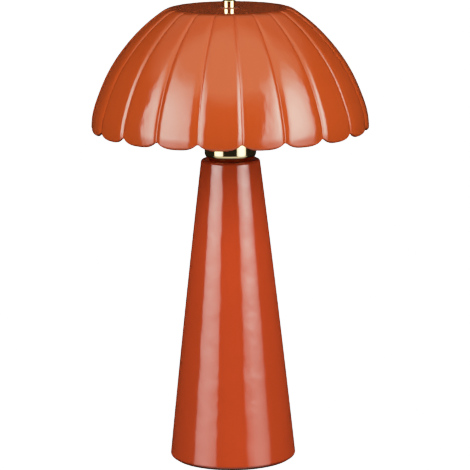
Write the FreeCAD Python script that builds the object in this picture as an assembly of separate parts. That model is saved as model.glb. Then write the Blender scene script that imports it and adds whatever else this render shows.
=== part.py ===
import FreeCAD, Part
import math
import os

# Table lamp with a fluted dome shade. Millimetres, +Z up, origin at the centre
# of the underside of the felt pad. The front of the lamp looks towards -Y.

V = FreeCAD.Vector

# ---------------------------------------------------------------- dimensions
TOTAL_H = 450.0            # floor to the top of the finial

# shade
PETALS = 20                # petals round the shade
GROOVE_PHASE = 4.75        # degrees from the front (-Y) towards +X to the nearest groove
SHADE_TOP_Z = 443.0        # upper face of the flat top
SHADE_WALL = 1.2           # sheet thickness
SHADE_HOLE_R = 5.2         # hole for the harp stud
SHADE_PROFILE = [          # outer crest line, radius and height
    (49.5, 443.0), (54.6, 442.82), (59.1, 442.15), (62.6, 440.72), (66.95, 437.85), (72.1, 434.05),
    (88.05, 420.0), (105.2, 400.0), (117.85, 380.0), (126.75, 360.0), (132.95, 340.0), (134.1, 326.0)]
FLUTE_START = 53.0         # radius on the flat top where the grooves begin
FLUTE_RIM = 1.95           # groove depth at the rim, before rounding
FLUTE_POWER = 8.0          # squareness of a petal's cross-section
FLUTE_SOFT = 0.27          # rounding of the valley between two petals
RIM_Z = 328.0              # end of the outer wall at the middle of a petal
RIM_NOTCH = 4.75           # rise of the rim at a groove, before rounding
RIM_POWER = 3.0
RIM_SOFT = 0.22
BEAD_R = 2.8               # radius of the rolled rim at the middle of a petal
BEAD_SHRINK = 1.6          # the bead is finer in the notches

# base
CONE_WALL = 1.5
CONE_FOOT_Z = 1.2          # underside of the turned-in hem
CONE_FOOT_R = 58.515       # centre of the bottom edge's rounding
CONE_FOOT_ROUND = 2.8
CONE_MID = (45.99, 146.0)  # a point halfway up the side, slightly bulged
CONE_TOP_Z = 296.0
CONE_TOP_R = 26.224        # centre of the top edge's rounding
CONE_TOP_ROUND = 2.6
HEM_R = 52.0               # inner edge of the hem
FELT_T = 1.2
FELT_R = 57.6
PLATE_R = 57.0
PLATE_T = 1.4
WEIGHT_R = 53.0
WEIGHT_TOP = 17.0

# pipe and fasteners
PIPE_R = 5.0
PIPE_BORE = 3.6
PIPE_BOTTOM = 2.2
PIPE_TOP = 326.0
NUT_AF = 17.0
NUT_H = 5.0
HOLE_R = 5.3               # clearance hole for the pipe

# cord inlet
INLET_Z = 26.0
INLET_BORE = 3.5
INLET_BODY = 4.9
INLET_FLANGE = 7.4

# collar
COLLAR_R = 25.1
COLLAR_Z0 = 296.0
COLLAR_Z1 = 315.0
COLLAR_ROUND = 6.8

# harp
SADDLE_Z0 = 315.0
SADDLE_T = 1.6
LEG_X = 30.0
WIRE_R = 2.0
SLEEVE_BORE = 2.08
SLEEVE_R = 3.4
LEG_Z0 = 325.2             # lower end of the harp's legs
HARP_TOP_Z = 436.4         # wire centre line at the top
HARP_WIDE_X = 42.0         # widest half-width of the bow

# finial
STUD_R = 3.175
FINIAL_R = 6.5
FINIAL_Z0 = 443.5

# socket
SOCKET_Z0 = 316.6
SHELL_R = 16.3
SHELL_TOP = 366.0
SWITCH_Z = 338.6
SPINDLE_R = 1.65

# bulb
GLOBE_R = 22.0
GLOBE_Z = 393.98
CAP_R = 12.9
THREAD_PITCH = 3.63

os.makedirs("parts", exist_ok=True)


# ---------------------------------------------------------------- helpers
def save(shape, name):
    shape.exportStep("parts/" + name + ".step")


def turned(points):
    """Solid of revolution about Z from a closed outline of (r, z) points.
    A three-element point is the middle of an arc (r, z, "via") or of a
    shallow bow (r, z, "bow"), which is a smooth curve through its points."""
    edges = []
    n = len(points)
    i = 0
    while i < n:
        a = points[i]
        b = points[(i + 1) % n]
        pa = V(a[0], 0, a[1])
        if len(b) == 3:
            c = points[(i + 2) % n]
            pb, pc = V(b[0], 0, b[1]), V(c[0], 0, c[1])
            if b[2] == "bow":
                curve = Part.BSplineCurve()
                curve.interpolate([pa, pb, pc])
            else:
                curve = Part.Arc(pa, pb, pc)
            edges.append(curve.toShape())
            i += 2
        else:
            edges.append(Part.makeLine(pa, V(b[0], 0, b[1])))
            i += 1
    face = Part.Face(Part.Wire(edges))
    solid = face.revolve(V(0, 0, 0), V(0, 0, 1), 360)
    return solid


def arc_via(cx, cz, r, a0, a1):
    """Middle point of the arc about (cx, cz) between two angles in degrees."""
    a = math.radians(0.5 * (a0 + a1))
    return (cx + r * math.cos(a), cz + r * math.sin(a), "via")


def polar(cx, cz, r, a):
    a = math.radians(a)
    return (cx + r * math.cos(a), cz + r * math.sin(a))


def ring(r0, r1, z0, z1):
    return Part.makeCylinder(r1, z1 - z0, V(0, 0, z0)).cut(
        Part.makeCylinder(r0, z1 - z0 + 2, V(0, 0, z0 - 1)))


def hex_nut(z0, h, af, bore):
    rad = af / math.sqrt(3.0)
    pts = [V(rad * math.cos(math.radians(60 * k)), rad * math.sin(math.radians(60 * k)), z0)
           for k in range(6)]
    body = Part.Face(Part.makePolygon(pts + [pts[0]])).extrude(V(0, 0, h))
    # chamfered corners, as on a turned nut
    cone = turned([(0, z0 - 0.01), (af / 2 + 0.1, z0 - 0.01), (rad + 0.1, z0 + 0.9),
                   (rad + 0.1, z0 + h - 0.9), (af / 2 + 0.1, z0 + h + 0.01), (0, z0 + h + 0.01)])
    body = body.common(cone)
    return body.cut(Part.makeCylinder(bore, h + 2, V(0, 0, z0 - 1)))


# ---------------------------------------------------------------- base cone
# side of the cone: slope at the two ends, allowing for the slight bulge
FOOT_TILT = 5.95
TOP_TILT = 6.87
MID_TILT = 6.41


def cone_outline(off):
    """Side of the cone moved inwards by off: foot arc, side arc and top arc."""
    zf = CONE_FOOT_Z + CONE_FOOT_ROUND
    zt = CONE_TOP_Z - CONE_TOP_ROUND
    rf = CONE_FOOT_ROUND - off
    rt = CONE_TOP_ROUND - off
    foot0 = (CONE_FOOT_R, zf - rf)
    foot1 = polar(CONE_FOOT_R, zf, rf, FOOT_TILT)
    mid = (CONE_MID[0] - off * math.cos(math.radians(MID_TILT)),
           CONE_MID[1] - off * math.sin(math.radians(MID_TILT)))
    top0 = polar(CONE_TOP_R, zt, rt, TOP_TILT)
    top1 = (CONE_TOP_R, zt + rt)
    return [foot0, arc_via(CONE_FOOT_R, zf, rf, -90, FOOT_TILT), foot1,
            (mid[0], mid[1], "bow"), top0,
            arc_via(CONE_TOP_R, zt, rt, TOP_TILT, 90), top1]


outer = cone_outline(0.0)
inner = cone_outline(CONE_WALL)
inner_back = list(reversed(inner))
outline = [(HEM_R, CONE_FOOT_Z)] + outer + [(HOLE_R, CONE_TOP_Z), (HOLE_R, CONE_TOP_Z - CONE_WALL)] \
    + inner_back + [(HEM_R, CONE_FOOT_Z + CONE_WALL)]
whole_cone = turned(outline)
inlet_cut = Part.makeCylinder(INLET_BODY + 0.1, 30, V(0, 45, INLET_Z), V(0, 1, 0))
base_cone = whole_cone.cut(inlet_cut)
if whole_cone.Volume - base_cone.Volume < 100:
    raise RuntimeError("the cord inlet's hole is missing from the cone")
save(base_cone, "base_cone")

# felt ring, joggled bottom plate with a dished centre, and the weight on it
save(ring(20.0, FELT_R, 0.0, FELT_T), "felt_pad")

bottom_plate = turned([
    (HOLE_R, 8.6), (13.0, 8.6), (17.2, 1.2), (50.8, 1.2), (51.8, 2.7), (PLATE_R, 2.7),
    (PLATE_R, 2.7 + PLATE_T), (50.9, 2.7 + PLATE_T), (49.9, 2.6), (18.1, 2.6), (14.0, 10.0),
    (HOLE_R, 10.0)])
save(bottom_plate, "bottom_plate")

base_weight = turned([
    (5.4, 10.0), (15.2, 10.0), (19.3, 2.6), (49.4, 2.6), (50.4, 4.1), (WEIGHT_R, 4.1),
    (WEIGHT_R, WEIGHT_TOP - 1.5), (WEIGHT_R - 1.5, WEIGHT_TOP), (5.4, WEIGHT_TOP)])
save(base_weight, "base_weight")

# cord inlet: a flanged bush through the back wall, held by a ring nut inside
filled_out = turned([(0, CONE_FOOT_Z)] + cone_outline(-0.05) + [(0, CONE_TOP_Z + 0.05)])
filled_in = turned([(0, CONE_FOOT_Z + CONE_WALL)] + cone_outline(CONE_WALL + 0.05)
                   + [(0, CONE_TOP_Z - CONE_WALL - 0.05)])
Y = V(0, 1, 0)
flange = Part.makeCylinder(INLET_FLANGE, 16.0, V(0, 46, INLET_Z), Y)
far_edge = [e for e in flange.Edges
            if abs(e.BoundBox.YMin - 62.0) < 1e-6 and abs(e.BoundBox.YMax - 62.0) < 1e-6]
flange = flange.makeFillet(1.3, far_edge)
flange = flange.cut(filled_out)
barrel = Part.makeCylinder(INLET_BODY, 60.5 - 50.0, V(0, 50.0, INLET_Z), Y)
grommet = flange.fuse(barrel).removeSplitter()
grommet = grommet.cut(Part.makeCylinder(INLET_BORE, 30, V(0, 45, INLET_Z), Y))
save(grommet, "cord_grommet")

ring_nut = Part.makeCylinder(8.4, 20.0, V(0, 51.5, INLET_Z), Y).common(filled_in)
ring_nut = ring_nut.cut(Part.makeCylinder(INLET_BODY + 0.1, 30, V(0, 45, INLET_Z), Y))
save(ring_nut, "grommet_nut")

# ---------------------------------------------------------------- pipe and fasteners
pipe = ring(PIPE_BORE, PIPE_R, PIPE_BOTTOM, PIPE_TOP)
pipe = pipe.cut(Part.makeCylinder(3.0, 10, V(0, 0, INLET_Z), Y))
save(pipe, "lamp_pipe")

save(ring(5.1, 12.0, 7.4, 8.6), "pipe_washer")
save(hex_nut(2.4, NUT_H, NUT_AF, PIPE_R + 0.05), "pipe_nut")
save(ring(5.1, 14.0, 292.5, 294.5), "cone_washer")
save(hex_nut(287.5, NUT_H, NUT_AF, PIPE_R + 0.05), "cone_nut")
save(ring(5.1, 11.5, 299.0, 300.2), "collar_washer")
save(hex_nut(300.2, NUT_H, NUT_AF, PIPE_R + 0.05), "collar_nut")

# ---------------------------------------------------------------- brass collar
cr = COLLAR_R - COLLAR_ROUND
collar = turned([
    (5.4, COLLAR_Z0), (cr, COLLAR_Z0),
    arc_via(cr, COLLAR_Z0 + COLLAR_ROUND, COLLAR_ROUND, -90, 0),
    (COLLAR_R, COLLAR_Z0 + COLLAR_ROUND), (COLLAR_R, COLLAR_Z1 - 1.6),
    arc_via(COLLAR_R - 1.6, COLLAR_Z1 - 1.6, 1.6, 0, 90), (COLLAR_R - 1.6, COLLAR_Z1),
    (21.6, COLLAR_Z1), (21.6, COLLAR_Z1 - 1.6), (20.6, COLLAR_Z1 - 1.6), (20.6, 299.0),
    (5.4, 299.0)])
save(collar, "brass_collar")
save(ring(HOLE_R, 21.5, COLLAR_Z1 - 1.6, COLLAR_Z1), "collar_lid")

# ---------------------------------------------------------------- harp
# saddle: a strap with a round middle and an upright prong at each end
strap = Part.makeBox(2 * LEG_X, 11.0, SADDLE_T, V(-LEG_X, -5.5, SADDLE_Z0))
for sx in (-1, 1):
    strap = strap.fuse(Part.makeCylinder(5.5, SADDLE_T, V(sx * LEG_X, 0, SADDLE_Z0)))
strap = strap.fuse(Part.makeCylinder(13.0, SADDLE_T, V(0, 0, SADDLE_Z0)))
for sx in (-1, 1):
    strap = strap.fuse(Part.makeCylinder(WIRE_R, LEG_Z0 - 0.2 - SADDLE_Z0, V(sx * LEG_X, 0, SADDLE_Z0)))
saddle = strap.removeSplitter().cut(Part.makeCylinder(HOLE_R, 10, V(0, 0, SADDLE_Z0 - 4)))
save(saddle, "harp_saddle")

# bow: straight legs, an S-bend outwards, and a half-round top
BOW_R = HARP_WIDE_X - 8.0
S_ANG = math.radians(30.0)
S_R = (HARP_WIDE_X - LEG_X) / (2 * (1 - math.cos(S_ANG)))
z_wide = HARP_TOP_Z - BOW_R
z_leg = z_wide - 2 * S_R * math.sin(S_ANG)


def xz(x, z):
    return V(x, 0, z)


def half_bow(s):
    """Edges of the wire from the foot of one leg to the top middle, s = +1 or -1."""
    def p(x, z):
        return xz(s * x, z)
    a = p(LEG_X, LEG_Z0)
    b = p(LEG_X, z_leg)
    # lower arc bends outwards about a centre outside the leg
    c1 = (LEG_X + S_R, z_leg)
    m1 = p(c1[0] - S_R * math.cos(S_ANG / 2), c1[1] + S_R * math.sin(S_ANG / 2))
    e1 = p(c1[0] - S_R * math.cos(S_ANG), c1[1] + S_R * math.sin(S_ANG))
    # upper arc bends back to vertical
    c2 = (HARP_WIDE_X - S_R, z_wide)
    m2 = p(c2[0] + S_R * math.cos(S_ANG / 2), c2[1] - S_R * math.sin(S_ANG / 2))
    e2 = p(HARP_WIDE_X, z_wide)
    c3 = (8.0, z_wide)
    m3 = p(c3[0] + BOW_R * math.cos(math.pi / 4), c3[1] + BOW_R * math.sin(math.pi / 4))
    e3 = p(8.0, HARP_TOP_Z)
    return [Part.makeLine(a, b), Part.Arc(b, m1, e1).toShape(), Part.Arc(e1, m2, e2).toShape(),
            Part.Arc(e2, m3, e3).toShape()]


left = half_bow(-1)
right = half_bow(1)
path = Part.Wire(left + [Part.makeLine(xz(-8, HARP_TOP_Z), xz(8, HARP_TOP_Z))]
                 + [e for e in reversed(right)])
circle = Part.Wire(Part.makeCircle(WIRE_R, xz(-LEG_X, LEG_Z0), V(0, 0, 1)))
bow = path.makePipeShell([circle], True, False)
save(bow, "harp_bow")

# stud: turned piece with a cross-drilled hub, the platform and the threaded end
stud = turned([(0, 433.6), (4.4, 433.6), (5.0, 434.2), (5.0, 438.95), (11.6, 438.95), (12.0, 439.35),
               (12.0, 440.55), (11.6, 440.95), (STUD_R, 440.95), (STUD_R, 448.1), (STUD_R - 0.5, 448.6),
               (0, 448.6)])
stud = stud.cut(Part.makeCylinder(WIRE_R, 40, V(-20, 0, HARP_TOP_Z), V(1, 0, 0)))
save(stud, "harp_stud")

for name, sx in (("harp_sleeve_left", -1), ("harp_sleeve_right", 1)):
    sl = turned([(SLEEVE_BORE, 316.8), (SLEEVE_R + 0.5, 316.8), (SLEEVE_R + 0.5, 318.0), (SLEEVE_R, 319.2),
                 (SLEEVE_R, 329.8), (SLEEVE_R - 0.8, 331.0), (SLEEVE_BORE, 331.0)])
    sl.translate(V(sx * LEG_X, 0, 0))
    save(sl, name)

# ---------------------------------------------------------------- socket
zs = SOCKET_Z0
cap = turned([
    (PIPE_R + 0.05, zs), (7.6, zs), (8.0, zs + 0.4), (8.0, zs + 5.0),
    (14.3, zs + 8.4, "via"), (17.2, zs + 14.0), (17.2, zs + 17.0),
    (16.4, zs + 17.0), (16.4, zs + 14.0), (13.6, zs + 9.2, "via"), (8.0, zs + 6.2),
    (PIPE_R + 0.05, zs + 6.2)])
cap = cap.cut(Part.makeCylinder(1.55, 10, V(4, 0, zs + 2.7), V(1, 0, 0)))
save(cap, "socket_cap")

screw = Part.makeCylinder(1.5, 3.2, V(5.1, 0, zs + 2.7), V(1, 0, 0))
screw = screw.fuse(Part.makeCylinder(2.4, 1.5, V(8.2, 0, zs + 2.7), V(1, 0, 0))).removeSplitter()
screw = screw.cut(Part.makeBox(0.8, 6, 0.6, V(9.0, -3, zs + 2.4)))
save(screw, "cap_set_screw")

shell = turned([
    (SHELL_R - 0.5, 331.0), (SHELL_R, 331.0), (SHELL_R, 363.6), (SHELL_R + 0.7, 364.2),
    (SHELL_R + 0.7, SHELL_TOP - 0.4), (SHELL_R + 0.3, SHELL_TOP), (SHELL_R - 0.5, SHELL_TOP)])
shell = shell.cut(Part.makeCylinder(3.6, 20, V(0, -5, SWITCH_Z), V(0, -1, 0)))
save(shell, "socket_shell")

sleeve = ring(14.9, 15.6, 331.2, 364.8)
sleeve = sleeve.cut(Part.makeCylinder(4.0, 20, V(0, -5, SWITCH_Z), V(0, -1, 0)))
save(sleeve, "socket_insulator")

body = turned([(0, 334.5), (8.5, 334.5), (8.5, 331.4), (14.0, 331.4), (14.6, 332.0), (14.6, 345.4),
               (14.0, 346.0), (0, 346.0)])
for sx in (-1, 1):
    x0 = 10.5 if sx > 0 else -16.0
    body = body.cut(Part.makeBox(5.5, 9.0, 8.0, V(x0, -4.5, 336.0)))
    body = body.cut(Part.makeCylinder(1.55, 5.0, V(sx * 6.0, 0, 340.0), V(sx, 0, 0)))
body = body.cut(Part.makeCylinder(SPINDLE_R + 0.1, 13.0, V(0, -3.5, SWITCH_Z), V(0, -1, 0)))
body = body.cut(Part.makeCylinder(3.7, 2.4, V(0, -13.0, SWITCH_Z), V(0, -1, 0)))
save(body, "socket_body")

terminals = []
for sx in (-1, 1):
    t = Part.makeCylinder(1.5, 4.8, V(sx * 6.2, 0, 340.0), V(sx, 0, 0))
    t = t.fuse(Part.makeCylinder(3.1, 2.2, V(sx * 10.9, 0, 340.0), V(sx, 0, 0))).removeSplitter()
    slot = Part.makeBox(1.0, 7.0, 0.8, V(sx * 12.7 - 0.5, -3.5, 339.6))
    terminals.append(t.cut(slot))
save(Part.makeCompound(terminals), "terminal_screws")

screw_shell = turned([
    (9.0, 346.0), (13.7, 346.0), (13.7, 363.2), (14.4, 364.0), (14.4, 364.5), (13.6, 364.5),
    (13.2, 363.6), (13.2, 346.5), (9.0, 346.5)])
save(screw_shell, "screw_shell")
contact = turned([(0, 346.0), (4.6, 346.0), (4.6, 346.5), (2.8, 346.6), (2.0, 347.6), (0, 347.6)])
save(contact, "centre_contact")

# switch: threaded bush, spindle and knob on a line to the front
NY = V(0, -1, 0)
bush = Part.makeCylinder(3.5, 7.4, V(0, -13.3, SWITCH_Z), NY)
bush = bush.fuse(Part.makeCylinder(4.7, 1.8, V(0, -16.6, SWITCH_Z), NY)).removeSplitter()
bush = bush.cut(Part.makeCylinder(SPINDLE_R + 0.09, 20, V(0, -8, SWITCH_Z), NY))
save(bush, "switch_bushing")
spindle = Part.makeCylinder(SPINDLE_R, 28.0, V(0, -4.5, SWITCH_Z), NY)
save(spindle, "switch_spindle")
knob = turned([(SPINDLE_R + 0.02, 0), (4.6, 0), (5.2, 1.2), (6.4, 2.6), (6.4, 13.0), (5.9, 14.4, "via"),
               (4.6, 15.0), (0, 15.0), (0, 11.4), (SPINDLE_R + 0.02, 11.4)])
for k in range(14):
    a = 2 * math.pi * k / 14
    knob = knob.cut(Part.makeCylinder(0.9, 9.2, V(6.9 * math.cos(a), 6.9 * math.sin(a), 3.6)))
knob.rotate(V(0, 0, 0), V(1, 0, 0), 90)
knob.translate(V(0, -21.2, SWITCH_Z))
save(knob, "switch_knob")

# ---------------------------------------------------------------- bulb
tip = turned([(0, 347.7), (2.6, 347.7), (4.4, 348.6), (4.4, 351.0), (0, 351.0)])
save(tip, "bulb_tip")
insul = turned([(4.45, 349.0), (6.0, 349.0), (10.5, 351.6), (10.5, 352.6), (4.45, 352.6)])
save(insul, "bulb_insulator")

bcap = turned([
    (10.55, 351.6), (11.0, 351.6), (12.5, 353.4), (CAP_R, 354.6), (CAP_R, 369.4), (13.2, 370.2),
    (13.2, 371.4), (11.9, 371.4), (11.9, 354.4), (10.55, 352.9)])
for k in range(4):
    bcap = bcap.cut(Part.makeTorus(CAP_R + 0.75, 1.25, V(0, 0, 356.4 + k * THREAD_PITCH)))
save(bcap, "bulb_cap")

housing = turned([
    (10.3, 364.0), (11.85, 364.0), (11.85, 371.45), (13.4, 371.45), (13.9, 373.0), (15.6, 378.6, "via"),
    (20.4, 386.0), (18.9, 386.0), (14.2, 379.0, "via"), (12.2, 373.4), (10.3, 371.8)])
save(housing, "bulb_housing")

a_rim = math.degrees(math.asin((386.05 - GLOBE_Z) / GLOBE_R))
gi = GLOBE_R - 1.2
a_in = math.degrees(math.asin((386.05 - GLOBE_Z) / gi))
globe = turned([
    polar(0, GLOBE_Z, GLOBE_R, a_rim), arc_via(0, GLOBE_Z, GLOBE_R, a_rim, 90), (0, GLOBE_Z + GLOBE_R),
    (0, GLOBE_Z + gi), arc_via(0, GLOBE_Z, gi, 90, a_in), polar(0, GLOBE_Z, gi, a_in)])
save(globe, "bulb_globe")

board = ring(2.0, 17.2, 384.2, 385.6)
for k in range(8):
    a = 2 * math.pi * k / 8
    board = board.fuse(Part.makeBox(2.8, 2.8, 1.0, V(11.5 * math.cos(a) - 1.4, 11.5 * math.sin(a) - 1.4, 385.5)))
save(board.removeSplitter(), "led_board")

# ---------------------------------------------------------------- finial
washer = ring(STUD_R + 0.1, 8.8, SHADE_TOP_Z + 0.05, FINIAL_Z0)
save(washer, "finial_washer")
finial = turned([
    (STUD_R + 0.08, FINIAL_Z0), (FINIAL_R - 0.4, FINIAL_Z0), (FINIAL_R, FINIAL_Z0 + 0.4),
    (FINIAL_R, TOTAL_H - 0.7), arc_via(FINIAL_R - 0.7, TOTAL_H - 0.7, 0.7, 0, 90),
    (FINIAL_R - 0.7, TOTAL_H), (0, TOTAL_H), (0, 448.8), (STUD_R + 0.08, 448.8)])
save(finial, "finial")

# ---------------------------------------------------------------- shade
save(ring(SHADE_HOLE_R, 15.0, 441.0, SHADE_TOP_Z - SHADE_WALL), "shade_hub_plate")


class Spline:
    """Clamped cubic spline through points in the plane, by chord length."""

    def __init__(self, pts, d0, d1):
        self.t = [0.0]
        for a, b in zip(pts, pts[1:]):
            self.t.append(self.t[-1] + math.hypot(b[0] - a[0], b[1] - a[1]))
        self.p = pts
        self.m = [self.solve([q[k] for q in pts], d0[k], d1[k]) for k in (0, 1)]

    def solve(self, y, d0, d1):
        t = self.t
        n = len(y)
        lo, di, up, rh = [0.0] * n, [0.0] * n, [0.0] * n, [0.0] * n
        h = [t[i + 1] - t[i] for i in range(n - 1)]
        di[0], up[0] = 2 * h[0], h[0]
        rh[0] = 6 * ((y[1] - y[0]) / h[0] - d0)
        for i in range(1, n - 1):
            lo[i], di[i], up[i] = h[i - 1], 2 * (h[i - 1] + h[i]), h[i]
            rh[i] = 6 * ((y[i + 1] - y[i]) / h[i] - (y[i] - y[i - 1]) / h[i - 1])
        lo[-1], di[-1] = h[-1], 2 * h[-1]
        rh[-1] = 6 * (d1 - (y[-1] - y[-2]) / h[-1])
        for i in range(1, n):
            w = lo[i] / di[i - 1]
            di[i] -= w * up[i - 1]
            rh[i] -= w * rh[i - 1]
        m = [0.0] * n
        m[-1] = rh[-1] / di[-1]
        for i in range(n - 2, -1, -1):
            m[i] = (rh[i] - up[i] * m[i + 1]) / di[i]
        return m

    def at(self, t):
        """Point and unit tangent at chord length t."""
        k = 0
        while k < len(self.t) - 2 and t > self.t[k + 1]:
            k += 1
        t0, t1 = self.t[k], self.t[k + 1]
        h = t1 - t0
        a, b = (t1 - t) / h, (t - t0) / h
        pos, tan = [], []
        for c in (0, 1):
            y0, y1 = self.p[k][c], self.p[k + 1][c]
            m0, m1 = self.m[c][k], self.m[c][k + 1]
            pos.append(a * y0 + b * y1 + ((a ** 3 - a) * m0 + (b ** 3 - b) * m1) * h * h / 6)
            tan.append((y1 - y0) / h - (3 * a * a - 1) * h * m0 / 6 + (3 * b * b - 1) * h * m1 / 6)
        s = math.hypot(tan[0], tan[1])
        return pos, (tan[0] / s, tan[1] / s)


crest = Spline(SHADE_PROFILE, (1.0, 0.0), (0.0, -1.0))
T_END = crest.t[-1]
HALF = math.pi / PETALS                       # half of a petal's angle


def soft_lobe(f, power, soft):
    """0 in the middle of a petal, 1 in the groove, with the groove rounded."""
    f = abs(f)
    a, b = f ** power, (2.0 - f) ** power
    return -soft * math.log(math.exp(-a / soft) + math.exp(-min(b / soft, 600.0)))


def smooth(x):
    x = min(max(x, 0.0), 1.0)
    return x * x * x * (x * (6 * x - 15) + 10)


def flute_depth(r):
    return FLUTE_RIM * (0.5 + 0.5 * r / SHADE_PROFILE[-1][0]) * smooth((r - FLUTE_START) / 8.0)


def on_wall(t, f):
    """Point on the outer wall at crest length t, f across the petal from -1 to 1."""
    (r, z), (tr, tz) = crest.at(t)
    g = flute_depth(r) * soft_lobe(f, FLUTE_POWER, FLUTE_SOFT)
    r, z = r + g * tz, z - g * tr              # inwards along the crest's normal
    a = f * HALF
    return V(r * math.sin(a), -r * math.cos(a), z)


def rim_z(f):
    return RIM_Z + RIM_NOTCH * soft_lobe(f, RIM_POWER, RIM_SOFT)


def wall_end(f):
    """Crest length where the outer wall meets the rim line."""
    goal = rim_z(f)
    lo, hi = 0.6 * T_END, T_END
    for _ in range(60):
        mid = 0.5 * (lo + hi)
        if on_wall(mid, f).z > goal:
            lo = mid
        else:
            hi = mid
    return 0.5 * (lo + hi)


def frame_at(w, f):
    """Outer point, outward normal and downward direction on the wall."""
    def p(ww, ff):
        return on_wall(ww * wall_end(ff), ff)
    e = 1e-4
    pos = p(w, f)
    w0, w1 = max(w - e, 0.0), w + e
    if w1 > 1.0:
        w0, w1 = w - e, 1.0
    du = p(w1, f) - p(w0, f)
    dv = p(w, f + e) - p(w, f - e)
    n = dv.cross(du)
    n.normalize()
    if n.z < 0 and w < 0.5:
        n = n * -1
    if n.x * pos.x + n.y * pos.y < 0 and w >= 0.5:
        n = n * -1
    d = n.cross(dv)
    d.normalize()
    if d.z > 0:
        d = d * -1
    return pos, n, d


def bead(f):
    return BEAD_R - BEAD_SHRINK * soft_lobe(f, RIM_POWER, RIM_SOFT)


W_STEPS = [0.0, 0.035, 0.075, 0.12, 0.18, 0.27, 0.39, 0.52, 0.65, 0.77, 0.87, 0.94, 1.0]
W_INNER = [0.0, 0.04, 0.09, 0.16, 0.27, 0.41, 0.56, 0.71, 0.82, 0.89, 0.945, 1.0]
F_STEPS = [0.0, 0.3, 0.55, 0.7, 0.8, 0.87, 0.92, 0.96, 1.0]
F_STEPS = [-x for x in reversed(F_STEPS[1:])] + F_STEPS


def inner_point(w, f):
    pos, n, d = frame_at(w, f)
    th = SHADE_WALL + (2 * bead(f) - SHADE_WALL) * smooth((w - 0.86) / 0.14)
    if w == 0.0:
        n = V(0, 0, 1)
    return pos - n * th


def bead_point(a, f):
    pos, n, d = frame_at(1.0, f)
    b = bead(f)
    return pos - n * b + n * (b * math.cos(a)) + d * (b * math.sin(a))


outer_rows = [[frame_at(w, f)[0] for f in F_STEPS] for w in W_STEPS]
bead_rows = [[bead_point(math.pi * k / 6, f) for f in F_STEPS] for k in range(7)]
inner_rows = [[inner_point(w, f) for f in F_STEPS] for w in reversed(W_INNER)]
bead_rows[0] = outer_rows[-1]
inner_rows[0] = bead_rows[-1]


def basis_rows(params, knots, deg):
    """Collocation matrix of the B-spline basis at the given parameters."""
    n = len(params)
    out = []
    for u in params:
        vals = [0.0] * (len(knots) - 1)
        span = n - 1
        for i in range(deg, n):
            if knots[i] <= u < knots[i + 1]:
                span = i
                break
        vals[span] = 1.0
        for d in range(1, deg + 1):
            nxt = [0.0] * (len(knots) - 1)
            for i in range(max(0, span - d), span + 1):
                v = 0.0
                if knots[i + d] > knots[i]:
                    v += (u - knots[i]) / (knots[i + d] - knots[i]) * vals[i]
                if i + 1 < len(vals) and knots[i + d + 1] > knots[i + 1]:
                    v += (knots[i + d + 1] - u) / (knots[i + d + 1] - knots[i + 1]) * vals[i + 1]
                nxt[i] = v
            vals = nxt
        out.append(vals[:n])
    return out


def solve_dense(mat, rhs):
    """Gaussian elimination with several right-hand sides, each a vector."""
    n = len(mat)
    m = [row[:] for row in mat]
    r = [row[:] for row in rhs]
    for i in range(n):
        p = max(range(i, n), key=lambda k: abs(m[k][i]))
        m[i], m[p] = m[p], m[i]
        r[i], r[p] = r[p], r[i]
        for k in range(i + 1, n):
            q = m[k][i] / m[i][i]
            if q:
                for c in range(i, n):
                    m[k][c] -= q * m[i][c]
                r[k] = [a - b * q for a, b in zip(r[k], r[i])]
    x = [None] * n
    for i in range(n - 1, -1, -1):
        acc = r[i]
        for c in range(i + 1, n):
            if m[i][c]:
                acc = [a - b * m[i][c] for a, b in zip(acc, x[c])]
        x[i] = [a * (1.0 / m[i][i]) for a in acc]
    return x


def knots_for(params, deg):
    n = len(params)
    inside = [sum(params[j:j + deg]) / deg for j in range(1, n - deg)]
    return [params[0]] * (deg + 1) + inside + [params[-1]] * (deg + 1)


def chord(points):
    t = [0.0]
    for a, b in zip(points, points[1:]):
        t.append(t[-1] + (b - a).Length)
    return [x / t[-1] for x in t]


def knots_mults(kn):
    ks, ms = [], []
    for k in kn:
        if ks and abs(k - ks[-1]) < 1e-12:
            ms[-1] += 1
        else:
            ks.append(k)
            ms.append(1)
    return ks, ms


v_par = [(f + 1.0) / 2.0 for f in F_STEPS]
v_kn = knots_for(v_par, 3)


def skin(rows):
    """Smooth face through a grid of points, one row per step down the petal."""
    u_par = chord([row[len(F_STEPS) // 2] for row in rows])
    u_kn = knots_for(u_par, 3)
    half = solve_dense(basis_rows(u_par, u_kn, 3), rows)
    flipped = [[half[i][j] for i in range(len(rows))] for j in range(len(F_STEPS))]
    flipped = solve_dense(basis_rows(v_par, v_kn, 3), flipped)
    poles = [[flipped[j][i] for j in range(len(F_STEPS))] for i in range(len(rows))]
    uk, um = knots_mults(u_kn)
    vk, vm = knots_mults(v_kn)
    surf = Part.BSplineSurface()
    surf.buildFromPolesMultsKnots(poles, um, vm, uk, vk, False, False, 3, 3)
    return surf.toShape()


petal = [skin(outer_rows), skin(bead_rows), skin(inner_rows)]

faces = []
for k in range(PETALS):
    for piece in petal:
        f = piece.copy()
        f.rotate(V(0, 0, 0), V(0, 0, 1), GROOVE_PHASE + 180.0 / PETALS + 360.0 * k / PETALS)
        faces.append(f)


def flat_with_hole(z):
    edges = []
    for f in faces:
        for e in f.Edges:
            b = e.BoundBox
            if abs(b.ZMin - z) < 1e-4 and abs(b.ZMax - z) < 1e-4:
                edges.append(e)
    outer_wire = Part.Wire(Part.__sortEdges__(edges))
    hole = Part.Wire(Part.makeCircle(SHADE_HOLE_R, V(0, 0, z), V(0, 0, 1)))
    disc = Part.Face(outer_wire)
    return disc.cut(Part.Face(hole)).Faces[0]


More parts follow.
